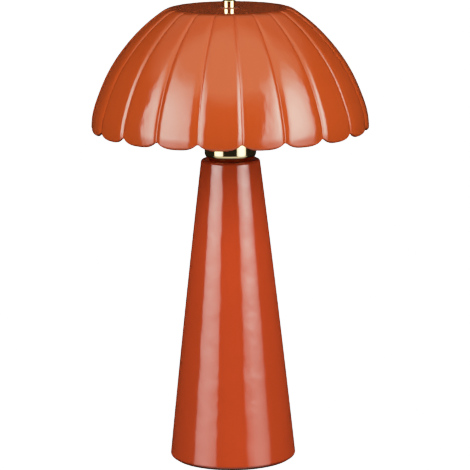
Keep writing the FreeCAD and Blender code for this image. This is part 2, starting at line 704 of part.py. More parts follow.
top_face = flat_with_hole(SHADE_TOP_Z)
under_face = flat_with_hole(SHADE_TOP_Z - SHADE_WALL)
hole_face = [f for f in Part.makeCylinder(SHADE_HOLE_R, SHADE_WALL, V(0, 0, SHADE_TOP_Z - SHADE_WALL)).Faces
             if f.Surface.TypeId == "Part::GeomCylinder"][0]
sewn = Part.makeCompound(faces + [top_face, under_face, hole_face])
sewn.sewShape(1e-4)
shell_shape = sewn.Shells[0] if sewn.Shells else sewn
shade = Part.Solid(shell_shape)
if shade.Volume < 0:
    shade.reverse()
save(shade, "shade_shell")
print("shade valid", shade.isValid(), "closed", shell_shape.isClosed(), "volume", round(shade.Volume, 1))
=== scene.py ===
import math

import bpy
import numpy as np
from mathutils import Vector, Matrix


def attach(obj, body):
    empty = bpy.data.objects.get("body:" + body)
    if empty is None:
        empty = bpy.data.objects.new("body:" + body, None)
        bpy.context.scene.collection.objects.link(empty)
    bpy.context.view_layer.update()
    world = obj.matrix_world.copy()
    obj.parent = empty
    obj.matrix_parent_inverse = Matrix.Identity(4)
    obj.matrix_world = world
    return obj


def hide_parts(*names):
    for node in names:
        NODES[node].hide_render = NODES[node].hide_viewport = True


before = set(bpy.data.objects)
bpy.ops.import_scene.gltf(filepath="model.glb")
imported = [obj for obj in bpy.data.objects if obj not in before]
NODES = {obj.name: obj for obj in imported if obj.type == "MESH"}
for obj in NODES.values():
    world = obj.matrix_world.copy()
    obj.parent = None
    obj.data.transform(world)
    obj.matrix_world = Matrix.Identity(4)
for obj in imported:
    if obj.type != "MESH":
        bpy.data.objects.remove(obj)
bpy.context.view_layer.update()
MM = 0.001

# =====================================================================
# mesh helpers: everything is built in millimetres and stored in metres
# =====================================================================


def add_object(name, verts, faces, loop_normals=None, vert_normals=None):
    me = bpy.data.meshes.new(name)
    me.from_pydata([tuple(v) for v in (np.asarray(verts, float) * MM)], [], faces)
    me.polygons.foreach_set("use_smooth", [True] * len(me.polygons))
    me.update()
    if loop_normals is not None:
        me.normals_split_custom_set([tuple(n) for n in loop_normals])
    elif vert_normals is not None:
        me.normals_split_custom_set_from_vertices([tuple(n) for n in vert_normals])
    ob = bpy.data.objects.new(name, me)
    bpy.context.scene.collection.objects.link(ob)
    return ob


def finish_piece(ob, body, mat, replaces=()):
    ob.data.materials.clear()
    ob.data.materials.append(mat)
    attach(ob, body)
    if replaces:
        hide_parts(*replaces)
    return ob


# ---- outlines: ("p", r, z) corner, ("f", r, z, radius) rounded corner ------


def outline_points(corners, arc_step=9.0, max_len=1e9):
    """Closed outline with rounded corners. Returns points and, for each side of
    each point, the outward normal, so that edges shade exactly as shaped."""
    n = len(corners)
    pts = []                          # (r, z, normal_in, normal_out)
    c = [np.array(k[:2], float) for k in corners]
    rad = [k[2] if len(k) > 2 else 0.0 for k in corners]
    area = sum(c[i][0] * c[(i + 1) % n][1] - c[(i + 1) % n][0] * c[i][1] for i in range(n))
    sgn = 1.0 if area > 0 else -1.0

    def normal(d):
        return sgn * np.array([d[1], -d[0]])

    pieces = []
    for i in range(n):
        a, b, d = c[i - 1], c[i], c[(i + 1) % n]
        u = (b - a) / max(np.linalg.norm(b - a), 1e-9)
        v = (d - b) / max(np.linalg.norm(d - b), 1e-9)
        turn = math.atan2(u[0] * v[1] - u[1] * v[0], float(u @ v))
        r = rad[i]
        if r <= 1e-6 or abs(turn) < 1e-3:
            pieces.append([(b, normal(u), normal(v))])
            continue
        cut = r * math.tan(abs(turn) / 2)
        p0 = b - u * cut
        nu = normal(u)
        steps = max(2, int(math.ceil(abs(math.degrees(turn)) / arc_step)))
        s = 1.0 if turn * sgn > 0 else -1.0        # convex or concave corner
        centre = p0 - nu * r * s
        arc = []
        for k in range(steps + 1):
            t = turn * k / steps
            ct, st = math.cos(t), math.sin(t)
            nn = np.array([nu[0] * ct - nu[1] * st, nu[0] * st + nu[1] * ct])
            arc.append((centre + nn * r * s, nn, nn))
        pieces.append(arc)
    flat = [q for piece in pieces for q in piece]
    out = []
    m = len(flat)
    for i in range(m):
        p, n0, n1 = flat[i]
        q, m0, m1 = flat[(i + 1) % m]
        out.append((p, n0, n1))
        length = np.linalg.norm(q - p)
        if length > max_len:
            k = int(math.ceil(length / max_len))
            for j in range(1, k):
                t = j / k
                out.append((p * (1 - t) + q * t, n1, n1))
    return out


def lathe(name, corners, segs=128, arc_step=9.0, max_len=1e9, axis_xy=(0.0, 0.0), place=None):
    """Closed solid of revolution with exact split normals."""
    prof = outline_points(corners, arc_step, max_len)
    ang = np.linspace(0, 2 * math.pi, segs, endpoint=False)
    ca, sa = np.cos(ang), np.sin(ang)
    verts, index = [], []
    for p, _, _ in prof:
        if p[0] < 1e-6:
            index.append([len(verts)] * segs)
            verts.append((axis_xy[0], axis_xy[1], p[1]))
        else:
            index.append(list(range(len(verts), len(verts) + segs)))
            for k in range(segs):
                verts.append((axis_xy[0] + p[0] * ca[k], axis_xy[1] + p[0] * sa[k], p[1]))
    faces, normals = [], []
    m = len(prof)
    flip = None
    for i in range(m):
        j = (i + 1) % m
        p, _, n0 = prof[i]
        q, n1, _ = prof[j]
        if p[0] < 1e-6 and q[0] < 1e-6:
            continue
        for k in range(segs):
            l = (k + 1) % segs
            loop = [(index[i][k], n0, k), (index[i][l], n0, l), (index[j][l], n1, l), (index[j][k], n1, k)]
            seen, clean = set(), []
            for item in loop:
                if item[0] not in seen:
                    seen.add(item[0])
                    clean.append(item)
            if flip is None:
                # outward check on the first face
                a, b, c = (np.array(verts[x[0]]) for x in clean[:3])
                g = np.cross(b - a, c - a)
                nn = np.array([n0[0] * ca[k], n0[0] * sa[k], n0[1]])
                flip = float(g @ nn) < 0
            if flip:
                clean.reverse()
            faces.append([x[0] for x in clean])
            for _, nv, kk in clean:
                normals.append((nv[0] * ca[kk], nv[0] * sa[kk], nv[1]))
    if place is not None:
        verts = [tuple(place @ Vector(v)) for v in verts]
        rot = place.to_3x3()
        normals = [tuple((rot @ Vector(n)).normalized()) for n in normals]
    return add_object(name, verts, faces, loop_normals=normals)


# =====================================================================
# materials
# =====================================================================


class Mat:
    """Small wrapper for building a node material."""

    def __init__(self, name):
        self.m = bpy.data.materials.new(name)
        self.m.use_nodes = True
        self.t = self.m.node_tree
        self.t.nodes.clear()
        self.out = self.t.nodes.new("ShaderNodeOutputMaterial")
        self.b = self.t.nodes.new("ShaderNodeBsdfPrincipled")
        self.t.links.new(self.b.outputs[0], self.out.inputs[0])
        self.coord = self.t.nodes.new("ShaderNodeTexCoord").outputs["Object"]
        self.bump_chain = None

    def set(self, **kw):
        for k, v in kw.items():
            self.b.inputs[k.replace("_", " ")].default_value = v
        return self

    def mapped(self, scale):
        n = self.t.nodes.new("ShaderNodeMapping")
        n.inputs["Scale"].default_value = scale
        self.t.links.new(self.coord, n.inputs["Vector"])
        return n.outputs[0]

    def noise(self, scale, detail=3.0, rough=0.55, stretch=None, distortion=0.0):
        n = self.t.nodes.new("ShaderNodeTexNoise")
        n.inputs["Scale"].default_value = scale
        n.inputs["Detail"].default_value = detail
        n.inputs["Roughness"].default_value = rough
        n.inputs["Distortion"].default_value = distortion
        self.t.links.new(self.mapped(stretch) if stretch else self.coord, n.inputs["Vector"])
        return n.outputs["Fac"]

    def remap(self, fac, lo, hi, a=0.3, b=0.7):
        n = self.t.nodes.new("ShaderNodeMapRange")
        n.inputs["From Min"].default_value = a
        n.inputs["From Max"].default_value = b
        n.inputs["To Min"].default_value = lo
        n.inputs["To Max"].default_value = hi
        self.t.links.new(fac, n.inputs["Value"])
        return n.outputs[0]

    def ramp(self, fac, stops):
        n = self.t.nodes.new("ShaderNodeValToRGB")
        e = n.color_ramp.elements
        while len(e) < len(stops):
            e.new(0.5)
        for item, (pos, col) in zip(e, stops):
            item.position = pos
            item.color = (*col, 1.0)
        self.t.links.new(fac, n.inputs["Fac"])
        return n.outputs["Color"]

    def height(self):
        """Height above the foot, in metres."""
        n = self.t.nodes.new("ShaderNodeSeparateXYZ")
        self.t.links.new(self.coord, n.inputs[0])
        return n.outputs["Z"]

    def darker(self, colour, fac, tone):
        n = self.t.nodes.new("ShaderNodeMix")
        n.data_type = "RGBA"
        n.blend_type = "MULTIPLY"
        self.t.links.new(fac, n.inputs["Factor"])
        self.t.links.new(colour, n.inputs[6])
        n.inputs[7].default_value = (*tone, 1.0)
        return n.outputs[2]

    def times(self, colour, other):
        n = self.t.nodes.new("ShaderNodeMix")
        n.data_type = "RGBA"
        n.blend_type = "MULTIPLY"
        n.inputs["Factor"].default_value = 1.0
        self.t.links.new(colour, n.inputs[6])
        self.t.links.new(other, n.inputs[7])
        return n.outputs[2]

    def colour(self, socket):
        self.t.links.new(socket, self.b.inputs["Base Color"])
        return self

    def roughness(self, socket):
        self.t.links.new(socket, self.b.inputs["Roughness"])
        return self

    def bump(self, height, strength, distance):
        n = self.t.nodes.new("ShaderNodeBump")
        n.inputs["Strength"].default_value = strength
        n.inputs["Distance"].default_value = distance
        self.t.links.new(height, n.inputs["Height"])
        if self.bump_chain is not None:
            self.t.links.new(self.bump_chain, n.inputs["Normal"])
        self.bump_chain = n.outputs["Normal"]
        self.t.links.new(self.bump_chain, self.b.inputs["Normal"])
        return self


def tint(c, k):
    return tuple(min(1.0, x * k) for x in c)


def enamel(name, base, rough=(0.07, 0.12), runs=0.10, painted_shade_bands=()):
    """Gloss coat; each painted-shade band is a band of heights over which the colour is darkened, as painted shade
    where contact shadow falls towards a joint or edge, and the tone it reaches.
    """
    m = Mat(name)
    m.set(IOR=1.5, Metallic=0.0)
    drift = m.noise(9.0, 3.0)
    col = m.ramp(drift, [(0.30, tint(base, 0.955)), (0.5, base), (0.72, tint(base, 1.04))])
    for band, tone in painted_shade_bands:
        col = m.darker(col, m.remap(m.height(), 0.0, 1.0, *band), tone)
    m.colour(col)
    m.roughness(m.remap(m.noise(38.0, 4.0), rough[0], rough[1]))
    m.bump(m.noise(48.0, 2.0, 0.45), 0.40, 0.0010)      # slow waviness of the sprayed coat
    m.bump(m.noise(150.0, 2.0, 0.5, stretch=(1.0, 1.0, 0.22)), runs, 0.0006)     # faint runs down the wall
    m.bump(m.noise(520.0, 2.0, 0.5), 0.035, 0.0004)     # orange peel
    return m.m


def brass(name, base, rough=(0.06, 0.14), brushed=None, wear=0.10, painted_shade_steps=None):
    """Metal; the painted-shade steps list heights and tones that darken the colour, as painted shade where it curves
    in towards a joint.
    """
    m = Mat(name)
    m.set(Metallic=1.0, IOR=1.45)
    drift = m.noise(60.0, 4.0)
    col = m.ramp(drift, [(0.28, tint(base, 1.0 - wear)), (0.55, base), (0.75, tint(base, 1.03))])
    if painted_shade_steps:
        lo, hi = painted_shade_steps[0][0], painted_shade_steps[-1][0]
        painted_shade_fac = m.ramp(m.remap(m.height(), 0.0, 1.0, lo, hi), [((z - lo) / (hi - lo), (k, k, k)) for z, k in painted_shade_steps])
        col = m.times(col, painted_shade_fac)
    m.colour(col)
    m.roughness(m.remap(m.noise(240.0, 5.0, 0.6), rough[0], rough[1]))
    if brushed:
        m.bump(m.noise(brushed[0], 2.0, 0.6, stretch=brushed[1]), 0.05, 0.0002)
    else:
        m.bump(m.noise(700.0, 2.0), 0.012, 0.0002)
    return m.m


def plastic(name, base, rough=(0.35, 0.5), grain=(900.0, 0.10), drift=0.06):
    m = Mat(name)
    m.set(IOR=1.46, Metallic=0.0)
    m.colour(m.ramp(m.noise(45.0, 3.0), [(0.3, tint(base, 1 - drift)), (0.7, tint(base, 1 + drift))]))
    m.roughness(m.remap(m.noise(180.0, 4.0), rough[0], rough[1]))
    m.bump(m.noise(grain[0], 3.0), grain[1], 0.0003)
    return m.m


def steel(name, base, rough=(0.25, 0.42)):
    m = Mat(name)
    m.set(Metallic=1.0)
    m.colour(m.ramp(m.noise(120.0, 5.0, 0.6), [(0.3, tint(base, 0.86)), (0.55, base), (0.75, tint(base, 1.08))]))
    m.roughness(m.remap(m.noise(300.0, 4.0), rough[0], rough[1]))
    m.bump(m.noise(800.0, 3.0), 0.06, 0.0003)
    return m.m


SHADE_COL = (0.575, 0.0850, 0.0155)
BASE_COL = (0.655, 0.0775, 0.0195)

M_SHADE = enamel("shade_enamel", SHADE_COL, runs=0.24)
# Painted shade: the colour is darkened just under the collar and along the bottom edge of the foot, standing for
# contact shadow there.
M_BASE = enamel("base_enamel", BASE_COL, painted_shade_bands=[
    ((0.2930, 0.2960), (0.72, 0.70, 0.72)), ((0.0050, 0.0018), (0.22, 0.24, 0.26))])
# Painted shade: the collar's lower curve is darkened in colour, standing for contact shadow and dark reflection where
# it meets the cone.
M_BRASS = brass("polished_brass", (0.90, 0.74, 0.42), rough=(0.035, 0.075),
                painted_shade_steps=[(0.2968, 0.66), (0.2988, 0.60), (0.3000, 0.42), (0.3009, 0.30), (0.3016, 1.0)])
M_HARP = brass("harp_brass", (0.78, 0.57, 0.27), rough=(0.18, 0.30), wear=0.16)
M_SOCKET = brass("socket_brass", (0.78, 0.56, 0.25), rough=(0.16, 0.26), wear=0.14)
M_CONTACT = brass("contact_brass", (0.74, 0.55, 0.28), rough=(0.2, 0.34), wear=0.2)
M_STEEL = steel("zinc_steel", (0.56, 0.57, 0.58))
M_NICKEL = steel("nickel", (0.68, 0.665, 0.63), rough=(0.16, 0.28))
M_BLACK = plastic("black_plastic", (0.020, 0.019, 0.018), rough=(0.32, 0.46), grain=(1400.0, 0.12))
M_PHEN = plastic("phenolic", (0.045, 0.030, 0.024), rough=(0.22, 0.32))
M_RED_FIBRE = plastic("red_fibre", (0.150, 0.036, 0.024), rough=(0.38, 0.5), grain=(700.0, 0.2))
M_FIBRE = plastic("fibre", (0.11, 0.08, 0.05), rough=(0.7, 0.85), grain=(500.0, 0.4))
M_WHITE = plastic("white_plastic", (0.80, 0.795, 0.77), rough=(0.28, 0.38), grain=(1000.0, 0.05), drift=0.015)
M_GLASSBLK = plastic("black_glass", (0.012, 0.012, 0.014), rough=(0.08, 0.14))
M_LED = plastic("led_board", (0.74, 0.74, 0.71), rough=(0.45, 0.6))


def opal(name):
    m = Mat(name)
    m.set(IOR=1.5, Metallic=0.0, Subsurface_Weight=0.25, Subsurface_Scale=0.004)
    m.colour(m.ramp(m.noise(30.0, 3.0), [(0.3, (0.82, 0.815, 0.79)), (0.7, (0.87, 0.865, 0.84))]))
    m.roughness(m.remap(m.noise(220.0, 4.0), 0.26, 0.36))
    m.bump(m.noise(900.0, 2.0), 0.03, 0.0003)
    return m.m


def iron(name):
    m = Mat(name)
    m.set(Metallic=0.0, IOR=1.5)
    m.colour(m.ramp(m.noise(80.0, 5.0), [(0.3, (0.030, 0.029, 0.028)), (0.7, (0.065, 0.062, 0.060))]))
    m.roughness(m.remap(m.noise(200.0, 4.0), 0.55, 0.8))
    m.bump(m.noise(350.0, 5.0, 0.65), 0.5, 0.0008)
    return m.m


def felt(name):
    m = Mat(name)
    m.set(IOR=1.4, Metallic=0.0, Sheen_Weight=0.25, Sheen_Roughness=0.6)
    m.colour(m.ramp(m.noise(700.0, 6.0, 0.7), [(0.3, (0.010, 0.008, 0.007)), (0.7, (0.034, 0.027, 0.023))]))
    m.roughness(m.remap(m.noise(300.0, 4.0), 0.85, 1.0))
    m.bump(m.noise(1500.0, 6.0, 0.75), 0.9, 0.0006)
    return m.m


M_OPAL = opal("opal_plastic")
M_IRON = iron("cast_iron")
M_FELT = felt("felt")

# =====================================================================
# shade: twenty petals, flat top, rolled and scalloped rim
# =====================================================================

PETALS = 20
GROOVE_PHASE = math.radians(4.75)
SHADE_TOP_Z, SHADE_WALL, SHADE_HOLE_R = 443.0, 1.2, 5.2
PROFILE = np.array([
    (49.5, 443.0), (54.6, 442.82), (59.1, 442.15), (62.6, 440.72), (66.95, 437.85), (72.1, 434.05), (88.05, 420.0),
    (105.2, 400.0), (117.85, 380.0), (126.75, 360.0), (132.95, 340.0), (134.1, 326.0)])
FLUTE_START, FLUTE_RIM, FLUTE_POWER, FLUTE_SOFT = 53.0, 1.95, 8.0, 0.27
RIM_Z, RIM_NOTCH, RIM_POWER, RIM_SOFT = 328.0, 4.75, 3.0, 0.22
BEAD_R, BEAD_SHRINK = 2.8, 1.6
HALF = math.pi / PETALS


class Spline:
    """Clamped cubic spline in the plane, by chord length."""

    def __init__(self, p, d0, d1):
        self.p = p
        h = np.linalg.norm(np.diff(p, axis=0), axis=1)
        self.t = np.concatenate([[0], np.cumsum(h)])
        n = len(p)
        a = np.zeros((n, n))
        rhs = np.zeros((n, 2))
        a[0, 0], a[0, 1] = 2 * h[0], h[0]
        rhs[0] = 6 * ((p[1] - p[0]) / h[0] - d0)
        for i in range(1, n - 1):
            a[i, i - 1], a[i, i], a[i, i + 1] = h[i - 1], 2 * (h[i - 1] + h[i]), h[i]
            rhs[i] = 6 * ((p[i + 1] - p[i]) / h[i] - (p[i] - p[i - 1]) / h[i - 1])
        a[-1, -2], a[-1, -1] = h[-1], 2 * h[-1]
        rhs[-1] = 6 * (d1 - (p[-1] - p[-2]) / h[-1])
        self.m = np.linalg.solve(a, rhs)

    def at(self, t):
        k = np.clip(np.searchsorted(self.t, t, side="right") - 1, 0, len(self.t) - 2)
        t0, t1 = self.t[k], self.t[k + 1]
        h = t1 - t0
        a, b = ((t1 - t) / h)[..., None], ((t - t0) / h)[..., None]
        h = h[..., None]
        p0, p1, m0, m1 = self.p[k], self.p[k + 1], self.m[k], self.m[k + 1]
        pos = a * p0 + b * p1 + ((a ** 3 - a) * m0 + (b ** 3 - b) * m1) * h * h / 6
        tan = (p1 - p0) / h - (3 * a * a - 1) * h * m0 / 6 + (3 * b * b - 1) * h * m1 / 6
        tan /= np.linalg.norm(tan, axis=-1, keepdims=True)
        return pos, tan


CREST = Spline(PROFILE, np.array([1.0, 0.0]), np.array([0.0, -1.0]))
T_END = CREST.t[-1]


def lobe(f, power, soft):
    f = np.abs(f)
    a, b = f ** power, (2.0 - f) ** power
    return -soft * np.log(np.exp(-a / soft) + np.exp(-np.minimum(b / soft, 600.0)))


def smooth(x):
    x = np.clip(x, 0.0, 1.0)
    return x * x * x * (x * (6 * x - 15) + 10)


def flute_depth(r):
    return FLUTE_RIM * (0.5 + 0.5 * r / PROFILE[-1][0]) * smooth((r - FLUTE_START) / 8.0)


def wall(t, f):
    """Points (r, z) of the outer wall."""
    pos, tan = CREST.at(t)
    r, z = pos[..., 0], pos[..., 1]
    g = flute_depth(r) * lobe(f, FLUTE_POWER, FLUTE_SOFT)
    return r + g * tan[..., 1], z - g * tan[..., 0]


def wall_xyz(t, f):
    r, z = wall(t, f)
    a = f * HALF
    return np.stack([r * np.sin(a), -r * np.cos(a), z], -1)


def rim_lobe(f):
    return lobe(f, RIM_POWER, RIM_SOFT)


def wall_end(f):
    goal = RIM_Z + RIM_NOTCH * rim_lobe(f)
    lo, hi = np.full_like(f, 0.6 * T_END), np.full_like(f, T_END)
    for _ in range(50):
        mid = 0.5 * (lo + hi)
        above = wall(mid, f)[1] > goal
        lo, hi = np.where(above, mid, lo), np.where(above, hi, mid)
    return 0.5 * (lo + hi)


def unit(v):
    return v / np.maximum(np.linalg.norm(v, axis=-1, keepdims=True), 1e-12)


def wall_frame(w, f):
    """Outer point, outward normal and downward direction, for arrays w and f."""
    e = 1e-4
    def p(ww, ff):
        return wall_xyz(ww * wall_end(ff), ff)
    pos = p(w, f)
    du = p(np.minimum(w + e, 1.0), f) - p(np.maximum(w - e, 0.0), f)
    dv = p(w, f + e) - p(w, f - e)
    n = unit(np.cross(du, dv))
    out = np.stack([pos[..., 0], pos[..., 1], np.full_like(pos[..., 0], 40.0)], -1)
    n *= np.sign(np.sum(n * out, -1, keepdims=True))
    d = unit(np.cross(n, dv))
    d *= np.where(d[..., 2:3] > 0, -1.0, 1.0)
    return pos, n, d


def build_shade():
    half = [0.12, 0.24, 0.36, 0.47, 0.56, 0.64, 0.71, 0.77, 0.82, 0.86, 0.895, 0.925, 0.95, 0.972, 0.988]
    f = np.array([-1.0] + [-x for x in reversed(half)] + [0.0] + half)     # one petal, groove to groove
    cols = len(f)
    # rows down the outer wall: dense on the shoulder and at the rim
    w = np.concatenate([np.linspace(0, 0.16, 20, endpoint=False), np.linspace(0.16, 0.86, 40, endpoint=False),
                        np.linspace(0.86, 1.0, 14)])
    wi = np.concatenate([np.linspace(0, 0.16, 10, endpoint=False), np.linspace(0.16, 0.84, 20, endpoint=False),
                         np.linspace(0.84, 1.0, 14)])[::-1][1:]
    rows, norms = [], []

    def flat(r, z, up):
        a = f * HALF
        rows.append(np.stack([r * np.sin(a), -r * np.cos(a), np.full_like(a, z)], -1))
        norms.append(np.tile([0.0, 0.0, up], (cols, 1)))

    # hole edge, slightly rounded, then the flat top
    for deg in (0, 30, 60, 90):
        t = math.radians(deg)
        rr = SHADE_HOLE_R + 0.3 - 0.3 * math.cos(t)
        zz = SHADE_TOP_Z - 0.3 + 0.3 * math.sin(t)
        a = f * HALF
        rows.append(np.stack([rr * np.sin(a), -rr * np.cos(a), np.full_like(a, zz)], -1))
        norms.append(np.stack([-math.cos(t) * np.sin(a), math.cos(t) * np.cos(a), np.full_like(a, math.sin(t))], -1))
    for r in (9.0, 15.0, 22.0, 30.0, 38.0, 45.0, 50.0):
        flat(r, SHADE_TOP_Z, 1.0)
    for x in w:
        p, n, _ = wall_frame(np.full_like(f, x), f)
        if x == 0.0:
            n = np.tile([0.0, 0.0, 1.0], (cols, 1))
        rows.append(p)
        norms.append(n)
    p, n, d = wall_frame(np.ones_like(f), f)
    bead = (BEAD_R - BEAD_SHRINK * rim_lobe(f))[:, None]
    for k in range(1, 13):
        a = math.pi * k / 12
        m = n * math.cos(a) + d * math.sin(a)
        rows.append(p - n * bead + m * bead)
        norms.append(m)
    for x in wi:
        p, n, _ = wall_frame(np.full_like(f, x), f)
        if x == 0.0:
            n = np.tile([0.0, 0.0, 1.0], (cols, 1))
        th = SHADE_WALL + (2 * bead - SHADE_WALL) * smooth((x - 0.86) / 0.14)
        rows.append(p - n * th)
        norms.append(None)
    for r in (45.0, 30.0, 16.0, SHADE_HOLE_R + 0.3):
        flat(r, SHADE_TOP_Z - SHADE_WALL, -1.0)
    a = f * HALF
    rows.append(np.stack([SHADE_HOLE_R * np.sin(a), -SHADE_HOLE_R * np.cos(a),
                          np.full_like(a, SHADE_TOP_Z - SHADE_WALL + 0.3)], -1))
    norms.append(np.stack([-np.sin(a), np.cos(a), np.zeros_like(a)], -1))

    grid = np.stack(rows)                       # rows, cols, xyz for one petal
    m = len(rows)
    # normals of the inner wall from the grid itself
    full = []
    for k in range(PETALS):
        ang = GROOVE_PHASE + math.pi / PETALS + 2 * math.pi * k / PETALS
        c, s = math.cos(ang), math.sin(ang)
        rot = np.array([[c, -s, 0], [s, c, 0], [0, 0, 1]])
        full.append((grid @ rot.T, rot))
    allp = np.concatenate([g for g, _ in full], axis=1)          # rows, 640, xyz
    ncol = allp.shape[1]
    alln = np.zeros_like(allp)
    dv = np.roll(allp, -1, 1) - np.roll(allp, 1, 1)
    du = np.roll(allp, -1, 0) - np.roll(allp, 1, 0)
    geo = unit(np.cross(dv, du))
    for i in range(m):
        if norms[i] is None:
            alln[i] = geo[i]
        else:
            alln[i] = np.concatenate([norms[i] @ rot.T for _, rot in full], axis=0)
    # inner-wall normals point away from the outer wall
    first_inner = next(i for i in range(m) if norms[i] is None)
    if float(np.sum(alln[first_inner] * alln[first_inner - 1])) < 0:
        for i in range(m):
            if norms[i] is None:
                alln[i] *= -1
    idx = np.arange(m * ncol).reshape(m, ncol)
    i2 = np.roll(idx, -1, 0)
    j2 = np.roll(idx, -1, 1)
    ij2 = np.roll(i2, -1, 1)
    quads = np.stack([idx, i2, ij2, j2], -1).reshape(-1, 4)
    v = allp.reshape(-1, 3)
    q = quads[ncol * 20]
    g = np.cross(v[q[1]] - v[q[0]], v[q[2]] - v[q[0]])
    if float(g @ alln.reshape(-1, 3)[q[0]]) < 0:
        quads = quads[:, ::-1]
    return add_object("shade", v, quads.tolist(), vert_normals=alln.reshape(-1, 3))


shade = build_shade()
finish_piece(shade, "shade", M_SHADE, ["shade_shell"])

# =====================================================================
# base cone, with the cord inlet's hole cut through the back
# =====================================================================

CONE_WALL = 1.5
FOOT = (58.515, 4.0, 2.8)              # centre and radius of the bottom edge
HEAD = (26.224, 293.4, 2.6)            # centre and radius of the top edge
FOOT_TILT, HEAD_TILT = math.radians(5.95), math.radians(6.87)
MID = (45.99, 146.0)
HEM_R, CONE_FOOT_Z, CONE_TOP_Z, HOLE_R = 52.0, 1.2, 296.0, 5.3
INLET_Z, INLET_R = 26.0, 5.0


def arc3(a, b, c, n):
    """Centre, radius and end angles of the circle through three points, in (r, z); the argument n is not used."""
    ax, ay, bx, by, cx, cy = *a, *b, *c
    d = 2 * (ax * (by - cy) + bx * (cy - ay) + cx * (ay - by))
    ux = ((ax * ax + ay * ay) * (by - cy) + (bx * bx + by * by) * (cy - ay) + (cx * cx + cy * cy) * (ay - by)) / d
    uy = ((ax * ax + ay * ay) * (cx - bx) + (bx * bx + by * by) * (ax - cx) + (cx * cx + cy * cy) * (bx - ax)) / d
    a0, a1 = math.atan2(ay - uy, ax - ux), math.atan2(cy - uy, cx - ux)
    rad = math.hypot(ax - ux, ay - uy)
    return ux, uy, rad, a0, a1


def side_curve(off):
    a = (FOOT[0] + (FOOT[2] - off) * math.cos(FOOT_TILT), FOOT[1] + (FOOT[2] - off) * math.sin(FOOT_TILT))
    c = (HEAD[0] + (HEAD[2] - off) * math.cos(HEAD_TILT), HEAD[1] + (HEAD[2] - off) * math.sin(HEAD_TILT))
    t = math.radians(6.41)
    b = (MID[0] - off * math.cos(t), MID[1] - off * math.sin(t))
    return a, b, c


